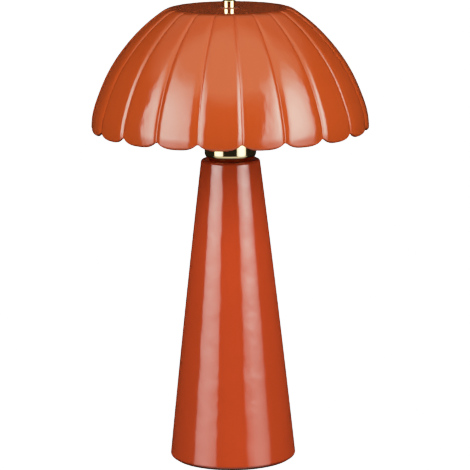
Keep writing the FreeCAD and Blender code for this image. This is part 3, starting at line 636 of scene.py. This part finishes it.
def build_cone():
    segs = 240
    ang = np.arange(segs) * 2 * math.pi / segs
    col0 = segs // 4                       # column that points along +Y
    half_cols = 6
    verts, norms, faces = [], [], []

    def add_ring(r, z, n):
        base = len(verts)
        for a in ang:
            verts.append((r * math.cos(a), r * math.sin(a), z))
        return base

    prof = []                              # (r, z, nr, nz) outer wall from hem to top, then inner wall back

    def add(r, z, nr, nz):
        prof.append((r, z, nr, nz))

    def wall_rows(off, sign, rising):
        """Foot arc, side and head arc of the wall moved in by off."""
        rows = []
        rf, rh = FOOT[2] - off, HEAD[2] - off
        for k in range(9):
            t = -math.pi / 2 + (FOOT_TILT + math.pi / 2) * k / 8
            rows.append((FOOT[0] + rf * math.cos(t), FOOT[1] + rf * math.sin(t), sign * math.cos(t), sign * math.sin(t)))
        a, b, c = side_curve(off)
        ux, uy, rad, a0, a1 = arc3(a, b, c, 1)
        zs = np.concatenate([np.arange(a[1] + 3.0, 15.0, 3.0), np.arange(15.5, 36.6, 1.5), np.arange(40.0, c[1] - 3.0, 6.0)])
        for z in zs:
            s = math.asin((z - uy) / rad)
            # the centre lies inside: the point with the larger radius
            r = ux + rad * math.cos(s) if rad * math.cos(s) + ux > 0 else ux - rad * math.cos(s)
            nr, nz = (r - ux) / rad, (z - uy) / rad
            if nr < 0:
                nr, nz = -nr, -nz
            rows.append((r, float(z), sign * nr, sign * nz))
        for k in range(11):
            t = HEAD_TILT + (math.pi / 2 - HEAD_TILT) * k / 10
            rows.append((HEAD[0] + rh * math.cos(t), HEAD[1] + rh * math.sin(t), sign * math.cos(t), sign * math.sin(t)))
        return rows if rising else rows[::-1]

    outer = wall_rows(0.0, 1.0, True)
    inner = wall_rows(CONE_WALL, -1.0, False)
    strips = [
        [(HEM_R, CONE_FOOT_Z, 0, -1), (FOOT[0], CONE_FOOT_Z, 0, -1)],
        outer,
        [(HEAD[0], CONE_TOP_Z, 0, 1), (18.0, CONE_TOP_Z, 0, 1), (HOLE_R, CONE_TOP_Z, 0, 1)],
        [(HOLE_R, CONE_TOP_Z, -1, 0), (HOLE_R, CONE_TOP_Z - CONE_WALL, -1, 0)],
        [(HOLE_R, CONE_TOP_Z - CONE_WALL, 0, -1), (HEAD[0], CONE_TOP_Z - CONE_WALL, 0, -1)],
        inner,
        [(FOOT[0], CONE_FOOT_Z + CONE_WALL, 0, 1), (HEM_R, CONE_FOOT_Z + CONE_WALL, 0, 1)],
        [(HEM_R, CONE_FOOT_Z + CONE_WALL, -1, 0), (HEM_R, CONE_FOOT_Z, -1, 0)],
    ]
    ring_of = {}
    loops = []                             # normals per face corner

    def ring_index(r, z):
        key = (round(r, 5), round(z, 5))
        if key not in ring_of:
            ring_of[key] = add_ring(r, z, None)
        return ring_of[key]

    def corner_normal(nr, nz, k):
        return (nr * math.cos(ang[k % segs]), nr * math.sin(ang[k % segs]), nz)

    edge_loops = {}
    for si, strip in enumerate(strips):
        cut = si in (1, 5)
        zs = [row[1] for row in strip]
        lo = hi = None
        if cut:
            inside = [i for i, z in enumerate(zs) if abs(z - INLET_Z) <= 9.1]
            lo, hi = min(inside), max(inside)
        for i in range(len(strip) - 1):
            r0, z0, n0r, n0z = strip[i]
            r1, z1, n1r, n1z = strip[i + 1]
            a, b = ring_index(r0, z0), ring_index(r1, z1)
            for k in range(segs):
                l = (k + 1) % segs
                if cut and lo <= i < hi and col0 - half_cols <= k < col0 + half_cols:
                    continue
                quad = [a + k, a + l, b + l, b + k]
                nn = [corner_normal(n0r, n0z, k), corner_normal(n0r, n0z, l),
                      corner_normal(n1r, n1z, l), corner_normal(n1r, n1z, k)]
                p, q, s = (np.array(verts[v]) for v in quad[:3])
                if float(np.cross(q - p, s - p) @ np.array(nn[0])) < 0:
                    quad.reverse()
                    nn.reverse()
                faces.append(quad)
                loops.extend(nn)
        if cut:
            # ring of vertices round the opening, then two more rings down to the round hole
            rows = strip[lo:hi + 1]
            sign = 1.0 if si == 1 else -1.0
            ids, info = [], []

            def at(i, k):
                return ring_index(rows[i][0], rows[i][1]) + k
            n_rows = len(rows)
            path = [(0, k) for k in range(col0 - half_cols, col0 + half_cols)]
            path += [(i, col0 + half_cols) for i in range(0, n_rows - 1)]
            path += [(n_rows - 1, k) for k in range(col0 + half_cols, col0 - half_cols, -1)]
            path += [(i, col0 - half_cols) for i in range(n_rows - 1, 0, -1)]
            outer_ids = [at(i, k) for i, k in path]
            zr = np.array([(row[1], row[0]) for row in rows])
            zr = zr[np.argsort(zr[:, 0])]
            nz_mean = np.mean([row[3] for row in rows])
            nr_mean = np.mean([row[2] for row in rows])

            def on_surface(x, z):
                r = float(np.interp(z, zr[:, 0], zr[:, 1]))
                y = math.sqrt(max(r * r - x * x, 0.0))
                return (x, y, z), (nr_mean * x / r, nr_mean * y / r, nz_mean)
            prev = outer_ids
            prev_n = [on_surface(verts[v][0], verts[v][2])[1] for v in prev]
            flat = [(verts[v][0], verts[v][2]) for v in outer_ids]
            for step in (0.5, 1.0):
                cur, cur_n = [], []
                for x, z in flat:
                    d = math.hypot(x, z - INLET_Z)
                    rr = d + (INLET_R - d) * step
                    p, nn = on_surface(x / d * rr, INLET_Z + (z - INLET_Z) / d * rr)
                    cur.append(len(verts))
                    verts.append(p)
                    cur_n.append(nn)
                for j in range(len(cur)):
                    k = (j + 1) % len(cur)
                    quad = [prev[j], prev[k], cur[k], cur[j]]
                    nn = [prev_n[j], prev_n[k], cur_n[k], cur_n[j]]
                    p, q, s = (np.array(verts[v]) for v in quad[:3])
                    if float(np.cross(q - p, s - p) @ np.array(nn[0])) < 0:
                        quad.reverse()
                        nn.reverse()
                    faces.append(quad)
                    loops.extend(nn)
                prev, prev_n = cur, cur_n
            edge_loops[si] = (prev, [(verts[v][0], verts[v][2] - INLET_Z) for v in prev])
    # wall of the hole: join the two round edges by angle
    a_ids, a_xy = edge_loops[1]
    b_ids, b_xy = edge_loops[5]
    order_a = sorted(range(len(a_ids)), key=lambda i: math.atan2(a_xy[i][1], a_xy[i][0]))
    order_b = sorted(range(len(b_ids)), key=lambda i: math.atan2(b_xy[i][1], b_xy[i][0]))
    n = len(order_a)
    if n == len(order_b):
        for j in range(n):
            k = (j + 1) % n
            quad = [a_ids[order_a[j]], a_ids[order_a[k]], b_ids[order_b[k]], b_ids[order_b[j]]]
            nn = []
            for v in quad:
                x, z = verts[v][0], verts[v][2] - INLET_Z
                d = math.hypot(x, z)
                nn.append((-x / d, 0.0, -z / d))
            p, q, s = (np.array(verts[v]) for v in quad[:3])
            if float(np.cross(q - p, s - p) @ np.array(nn[0])) < 0:
                quad.reverse()
                nn.reverse()
            faces.append(quad)
            loops.extend(nn)
    return add_object("base_column", verts, faces, loop_normals=loops)


cone = build_cone()
finish_piece(cone, "base", M_BASE, ["base_cone"])

# =====================================================================
# brass: collar, lid and finial, with the fibre washer under it
# =====================================================================

collar = lathe("collar", [
    (5.4, 296.0), (25.1, 296.0, 6.8), (25.1, 315.0, 1.6), (21.6, 315.0, 0.2), (21.6, 313.4), (20.6, 313.4),
    (20.6, 299.0), (5.4, 299.0)], segs=192, arc_step=6.0)
finish_piece(collar, "base", M_BRASS, ["brass_collar"])
lid = lathe("collar_cover", [(5.3, 313.42), (21.5, 313.42), (21.5, 315.0, 0.3), (5.3, 315.0, 0.2)], segs=128)
finish_piece(lid, "base", M_BRASS, ["collar_lid"])
fin = lathe("finial_cap", [
    (3.255, 443.5), (6.5, 443.5, 0.35), (6.5, 450.0, 0.7), (0.0, 450.0), (0.0, 448.8), (3.255, 448.8)],
    segs=128, arc_step=7.5)
finish_piece(fin, "finial", M_BRASS, ["finial"])
fw = lathe("finial_ring", [(3.275, 443.05), (8.8, 443.05, 0.1), (8.8, 443.5, 0.2), (3.275, 443.5)], segs=128)
finish_piece(fw, "finial_washer", M_RED_FIBRE, ["finial_washer"])

# =====================================================================
# everything else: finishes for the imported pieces
# =====================================================================

PLAIN = {
    "base_weight": M_IRON, "bottom_plate": M_STEEL, "felt_pad": M_FELT, "cord_grommet": M_BLACK,
    "grommet_nut": M_BLACK, "lamp_pipe": M_STEEL, "pipe_washer": M_STEEL, "pipe_nut": M_STEEL,
    "cone_washer": M_STEEL, "cone_nut": M_STEEL, "collar_washer": M_STEEL, "collar_nut": M_STEEL,
    "harp_saddle": M_HARP, "socket_cap": M_SOCKET, "cap_set_screw": M_STEEL, "socket_shell": M_SOCKET,
    "socket_insulator": M_FIBRE, "socket_body": M_PHEN, "terminal_screws": M_CONTACT, "screw_shell": M_CONTACT,
    "centre_contact": M_CONTACT, "switch_bushing": M_SOCKET, "switch_spindle": M_SOCKET, "switch_knob": M_BLACK,
    "harp_bow": M_HARP, "harp_stud": M_HARP, "harp_sleeve_left": M_HARP, "harp_sleeve_right": M_HARP,
    "shade_hub_plate": M_STEEL, "bulb_globe": M_OPAL, "bulb_housing": M_WHITE, "bulb_cap": M_NICKEL,
    "bulb_insulator": M_GLASSBLK, "bulb_tip": M_CONTACT, "led_board": M_LED,
}
for node, mat in PLAIN.items():
    ob = NODES[node]
    ob.data.materials.clear()
    ob.data.materials.append(mat)

# =====================================================================
# stage: pale floor, soft studio light, dark surround in the reflections
# =====================================================================


def emission(name, colour, strength, edge=0.25):
    """Light panel whose edges fade, as the cloth of a softbox does."""
    m = bpy.data.materials.new(name)
    m.use_nodes = True
    t = m.node_tree
    t.nodes.clear()
    out = t.nodes.new("ShaderNodeOutputMaterial")
    em = t.nodes.new("ShaderNodeEmission")
    em.inputs["Color"].default_value = (*colour, 1)
    t.links.new(em.outputs[0], out.inputs[0])
    uv = t.nodes.new("ShaderNodeTexCoord")
    sep = t.nodes.new("ShaderNodeSeparateXYZ")
    t.links.new(uv.outputs["Generated"], sep.inputs[0])
    sockets = []
    for k, ed in ((0, edge), (1, edge * 0.6)):
        a = t.nodes.new("ShaderNodeMath")
        a.operation = "SUBTRACT"
        t.links.new(sep.outputs[k], a.inputs[0])
        a.inputs[1].default_value = 0.5
        b = t.nodes.new("ShaderNodeMath")
        b.operation = "ABSOLUTE"
        t.links.new(a.outputs[0], b.inputs[0])
        c = t.nodes.new("ShaderNodeMapRange")
        c.interpolation_type = "SMOOTHSTEP"
        c.inputs["From Min"].default_value = 0.5
        c.inputs["From Max"].default_value = 0.5 - ed
        c.inputs["To Min"].default_value = 0.0
        c.inputs["To Max"].default_value = 1.0
        t.links.new(b.outputs[0], c.inputs["Value"])
        sockets.append(c.outputs[0])
    d = t.nodes.new("ShaderNodeMath")
    d.operation = "MULTIPLY"
    t.links.new(sockets[0], d.inputs[0])
    t.links.new(sockets[1], d.inputs[1])
    e = t.nodes.new("ShaderNodeMath")
    e.operation = "MULTIPLY"
    t.links.new(d.outputs[0], e.inputs[0])
    e.inputs[1].default_value = strength
    t.links.new(e.outputs[0], em.inputs["Strength"])
    return m


def panel(name, centre, target, width, height, mat, glossy=True):
    """Upright light panel that faces target; not seen by the camera."""
    me = bpy.data.meshes.new(name)
    w, h = width / 2, height / 2
    me.from_pydata([(-w, -h, 0), (w, -h, 0), (w, h, 0), (-w, h, 0)], [], [(0, 1, 2, 3)])
    me.materials.append(mat)
    ob = bpy.data.objects.new(name, me)
    bpy.context.scene.collection.objects.link(ob)
    d = Vector(target) - Vector(centre)
    z = d.normalized()
    up = Vector((0, 0, 1)) if abs(z.z) < 0.95 else Vector((0, 1, 0))
    x = up.cross(z).normalized()
    y = z.cross(x)
    m = Matrix((x, y, z)).transposed().to_4x4()
    m.translation = Vector(centre)
    ob.matrix_world = m
    ob.visible_camera = False
    ob.visible_glossy = glossy
    ob.visible_shadow = False
    return ob


def around(az, el, dist, z0=0.22):
    a, e = math.radians(az), math.radians(el)
    return (dist * math.sin(a) * math.cos(e), -dist * math.cos(a) * math.cos(e), z0 + dist * math.sin(e))


# Light that shapes the colour of the coat: broad panels that give no mirror image of their own.
KEY_L = emission("key_left", (1.0, 0.99, 0.975), 4.15, edge=0.3)
KEY_R = emission("key_right", (1.0, 0.99, 0.975), 4.72, edge=0.3)
TOP = emission("top_front", (1.0, 0.985, 0.96), 0.25, edge=0.4)
BACK = emission("back_fill", (1.0, 0.99, 0.98), 9.0, edge=0.3)
LOW = emission("low_fill", (1.0, 0.98, 0.95), 0.45, edge=0.3)

panel("light_left", around(-50, 25, 1.6), (0, 0, 0.25), 1.5, 1.95, KEY_L, glossy=False)
panel("light_right", around(50, 25, 1.6), (0, 0, 0.25), 1.5, 1.95, KEY_R, glossy=False)
panel("light_top", around(0, 52, 1.7), (0, 0, 0.35), 1.8, 1.2, TOP, glossy=False)
panel("fill_back", around(180, -4, 1.8), (0, 0, 0.20), 1.3, 1.1, BACK, glossy=False)
panel("fill_below", (0.0, -0.2, -1.3), (0, 0, 0.2), 1.2, 1.2, LOW, glossy=False)


def floor_material():
    """Evenly lit pale floor, clear from below so that the underside can be looked at."""
    m = bpy.data.materials.new("pale_floor")
    m.use_nodes = True
    t = m.node_tree
    t.nodes.clear()
    out = t.nodes.new("ShaderNodeOutputMaterial")
    em = t.nodes.new("ShaderNodeEmission")
    em.inputs["Color"].default_value = (1, 1, 1, 1)
    em.inputs["Strength"].default_value = 1.92
    clear = t.nodes.new("ShaderNodeBsdfTransparent")
    pick = t.nodes.new("ShaderNodeMixShader")
    t.links.new(t.nodes.new("ShaderNodeNewGeometry").outputs["Backfacing"], pick.inputs[0])
    t.links.new(em.outputs[0], pick.inputs[1])
    t.links.new(clear.outputs[0], pick.inputs[2])
    t.links.new(pick.outputs[0], out.inputs[0])
    return m


me = bpy.data.meshes.new("floor")
me.from_pydata([(-30, -30, 0), (30, -30, 0), (30, 30, 0), (-30, 30, 0)], [], [(0, 1, 2, 3)])
me.materials.append(floor_material())
floor = bpy.data.objects.new("floor", me)
bpy.context.scene.collection.objects.link(floor)
floor.location = (0, 0, -0.0002)
floor.visible_glossy = False
floor.visible_diffuse = False
floor.visible_shadow = False

world = bpy.data.worlds.new("studio")
bpy.context.scene.world = world
world.use_nodes = True
world.cycles_visibility.diffuse = False
wt = world.node_tree
wt.nodes.clear()


def w_math(op, a, b=None):
    n = wt.nodes.new("ShaderNodeMath")
    n.operation = op
    for i, v in enumerate((a, b)):
        if v is None:
            continue
        if isinstance(v, (int, float)):
            n.inputs[i].default_value = v
        else:
            wt.links.new(v, n.inputs[i])
    return n.outputs[0]


def w_step(v, lo, hi):
    n = wt.nodes.new("ShaderNodeMapRange")
    n.interpolation_type = "SMOOTHSTEP"
    n.inputs["From Min"].default_value = lo
    n.inputs["From Max"].default_value = hi
    wt.links.new(v, n.inputs["Value"])
    return n.outputs[0]


def w_window(v, lo0, lo1, hi0, hi1):
    return w_math("MULTIPLY", w_step(v, lo0, lo1), w_step(v, hi1, hi0))


def w_ramp(v, stops):
    """Straight-line curve through (degrees, value) points."""
    d0, d1 = stops[0][0], stops[-1][0]
    m = wt.nodes.new("ShaderNodeMapRange")
    m.inputs["From Min"].default_value = d0
    m.inputs["From Max"].default_value = d1
    wt.links.new(v, m.inputs["Value"])
    n = wt.nodes.new("ShaderNodeValToRGB")
    e = n.color_ramp.elements
    while len(e) < len(stops):
        e.new(0.5)
    for item, (d, k) in zip(e, stops):
        item.position = (d - d0) / (d1 - d0)
        item.color = (k, k, k, 1)
    wt.links.new(m.outputs[0], n.inputs["Fac"])
    return n.outputs["Color"]


# Mirror images in the coat and the brass: two tall softboxes and a dim ceiling, the rest dark.
direction = wt.nodes.new("ShaderNodeTexCoord").outputs["Generated"]
xyz = wt.nodes.new("ShaderNodeSeparateXYZ")
wt.links.new(direction, xyz.inputs[0])
AZ = w_math("MULTIPLY", w_math("ARCTAN2", xyz.outputs["X"], w_math("MULTIPLY", xyz.outputs["Y"], -1.0)), 180 / math.pi)
EL = w_math("MULTIPLY", w_math("ARCSINE", xyz.outputs["Z"]), 180 / math.pi)
FRONT = w_math("MULTIPLY", xyz.outputs["Y"], -1.0)

# each box is brightest a little above the middle of its height and fades below
glow = w_math("MULTIPLY", w_ramp(EL, [
    (-12.0, 0.60), (-2.8, 0.62), (-0.6, 0.72), (0.8, 0.79), (2.3, 0.93), (4.0, 0.93), (10.0, 0.72)]), 1.40)
tall = w_window(EL, -27.0, 15.0, 26.0, 57.0)
tall_right = w_math("ADD", w_window(EL, -19.0, 17.0, 26.0, 57.0), w_math("MULTIPLY", w_window(EL, -30.0, -20.0, -9.0, -1.0), 0.16))

dip = w_ramp(EL, [(-8.0, 1.0), (-5.5, 0.90), (-3.5, 0.80), (-0.8, 1.0)])


def w_box(outer, outer_lean, inner, inner_lean, inner_low, stops):
    """Softbox seen between two leaning edges; stops give its brightness from edge to edge."""
    a = w_math("ADD", outer, w_math("MULTIPLY", EL, outer_lean))
    b = w_math("ADD", inner, w_math("MULTIPLY", EL, inner_lean))
    b = w_math("ADD", b, w_math("MULTIPLY", w_math("MINIMUM", EL, 0.0), inner_low))
    u = w_math("DIVIDE", w_math("SUBTRACT", AZ, a), w_math("SUBTRACT", b, a))
    return w_ramp(u, stops)


box_left = w_math("MULTIPLY", w_box(-78.0, -0.22, -28.5, -0.03, 0.42, [
    (0.0, 0.0), (0.07, 0.75), (0.30, 1.0), (0.55, 1.0), (0.78, 0.78), (0.94, 0.60), (1.0, 0.0)]),
    w_math("MULTIPLY", w_math("MULTIPLY", tall, glow), 8.9))
box_right = w_math("MULTIPLY", w_box(76.0, 0.24, 24.0, 0.26, -0.70, [
    (0.0, 0.0), (0.07, 0.50), (0.25, 0.85), (0.40, 1.0), (0.58, 1.0), (0.76, 0.75), (0.94, 0.45), (1.0, 0.0)]),
    w_math("MULTIPLY", w_math("MULTIPLY", tall_right, w_math("MULTIPLY", glow, dip)), 11.2))
lean = w_math("ADD", 0.45, w_math("MULTIPLY", w_step(FRONT, -0.25, 0.1), 1.25))
ceiling = w_math("MULTIPLY", w_step(EL, 32.0, 47.0), lean)
table = w_math("MULTIPLY", w_math("MULTIPLY", w_step(EL, -17.0, -27.0), w_step(FRONT, 0.0, 0.25)), 0.95)

wo = wt.nodes.new("ShaderNodeOutputWorld")


def w_glow(strength, colour):
    n = wt.nodes.new("ShaderNodeBackground")
    n.inputs["Color"].default_value = (*colour, 1)
    if isinstance(strength, float):
        n.inputs["Strength"].default_value = strength
    else:
        wt.links.new(strength, n.inputs["Strength"])
    return n.outputs[0]


def w_sum(a, b):
    n = wt.nodes.new("ShaderNodeAddShader")
    wt.links.new(a, n.inputs[0])
    wt.links.new(b, n.inputs[1])
    return n.outputs[0]


dim = w_sum(w_glow(w_math("ADD", box_left, box_right), (1.0, 0.985, 0.935)),
            w_sum(w_glow(ceiling, (1.0, 0.98, 0.68)), w_sum(w_glow(table, (1.0, 0.98, 0.95)), w_glow(0.018, (1.0, 0.92, 0.72)))))
pale = wt.nodes.new("ShaderNodeBackground")
pale.inputs["Color"].default_value = (1, 1, 1, 1)
pale.inputs["Strength"].default_value = 1.92
lp = wt.nodes.new("ShaderNodeLightPath")
mix = wt.nodes.new("ShaderNodeMixShader")
wt.links.new(lp.outputs["Is Camera Ray"], mix.inputs[0])
wt.links.new(dim, mix.inputs[1])
wt.links.new(pale.outputs[0], mix.inputs[2])
wt.links.new(mix.outputs[0], wo.inputs[0])

# =====================================================================
# camera
# =====================================================================

F_PX, CAM_D, CAM_Z = 3041.7, 2.900, 0.794
PITCH, YAW, ROLL = math.radians(11.18), math.radians(-0.074), math.radians(-0.50)
cam_data = bpy.data.cameras.new("camera")
cam_data.sensor_width = 36.0
cam_data.lens = F_PX / 470.0 * 36.0
cam = bpy.data.objects.new("camera", cam_data)
bpy.context.scene.collection.objects.link(cam)
look = Matrix.Rotation(YAW, 4, "Z") @ Matrix.Rotation(math.pi / 2 - PITCH, 4, "X") @ Matrix.Rotation(ROLL, 4, "Z")
look.translation = Vector((0.0, -CAM_D, CAM_Z))
cam.matrix_world = look
cam_data.clip_start, cam_data.clip_end = 0.05, 60.0
bpy.context.scene.camera = cam

vs = bpy.context.scene.view_settings
vs.view_transform = "Standard"
vs.look = "None"
vs.exposure = 0.0
vs.gamma = 1.0
# soft shoulder, as a camera gives: bright tones are held back, white is reached at 1.9
vs.use_curve_mapping = True
tone = vs.curve_mapping
tone.black_level = (0.0, 0.0, 0.0)
tone.white_level = (3.0, 3.0, 3.0)
tone.extend = "HORIZONTAL"
line = tone.curves[3]
SHOULDER = [(0.0, 0.0), (0.25, 0.25), (0.5, 0.5), (0.6, 0.588), (0.7, 0.650), (0.8, 0.695), (0.9, 0.733),
            (1.0, 0.772), (1.2, 0.848), (1.5, 0.934), (1.9, 1.0), (3.0, 1.0)]
while len(line.points) < len(SHOULDER):
    line.points.new(0.5, 0.5)
for pt, (a, b) in zip(line.points, SHOULDER):
    pt.location = (a / 3.0, b)
tone.update()
